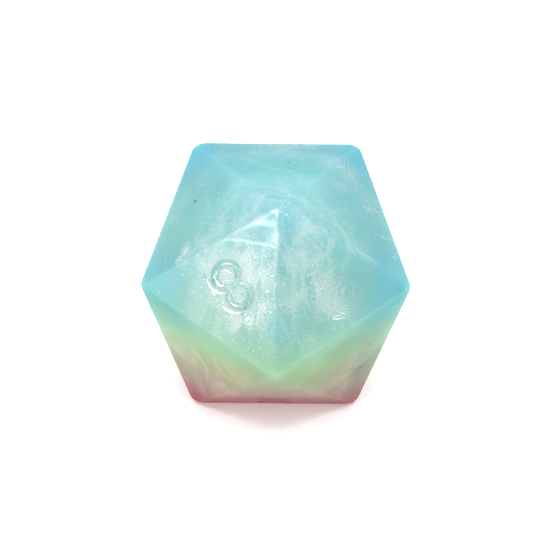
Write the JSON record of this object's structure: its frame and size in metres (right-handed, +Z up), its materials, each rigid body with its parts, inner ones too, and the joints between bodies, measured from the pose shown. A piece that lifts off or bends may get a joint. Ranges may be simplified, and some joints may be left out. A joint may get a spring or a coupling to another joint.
{
  "type": "polyhedral die",
  "caption": "Twenty-sided die in layered translucent resin, with engraved numerals on every face and a sealed ball of pearly liquid at its centre.",
  "frame": {"origin": "centre of the bounding box on the plane that the die stands on", "axes": "+Z up, out of the uppermost face; -Y towards the lower front corner, so the die's 3-fold axis is Z"},
  "size_m": [0.0234, 0.0268, 0.022],
  "materials": {
    "rose_resin": "polished translucent cast resin, rose pink",
    "green_resin": "polished translucent cast resin, spring green",
    "aqua_resin": "polished translucent cast resin, aqua with fine glitter",
    "blue_resin": "polished translucent cast resin, sky blue with fine glitter",
    "core_shell": "clear resin, thin wall",
    "pearl_liquid": "pearly white and aqua mica swirl in a clear liquid"
  },
  "bodies": {
    "die": {"rose_base_pour": "rose_resin", "green_lower_pour": "green_resin", "aqua_upper_pour": "aqua_resin", "blue_cap_pour": "blue_resin", "core_shell_lower": "core_shell", "core_shell_upper": "core_shell", "fill_plug": "core_shell"},
    "liquid": {"mica_liquid": "pearl_liquid"}
  },
  "joints": [
    {"name": "liquid_swirl", "type": "hinge", "parent": "die", "child": "liquid", "pos_m": [0, 0, 0.011], "axis": [0, 0, 1], "continuous": true}
  ]
}
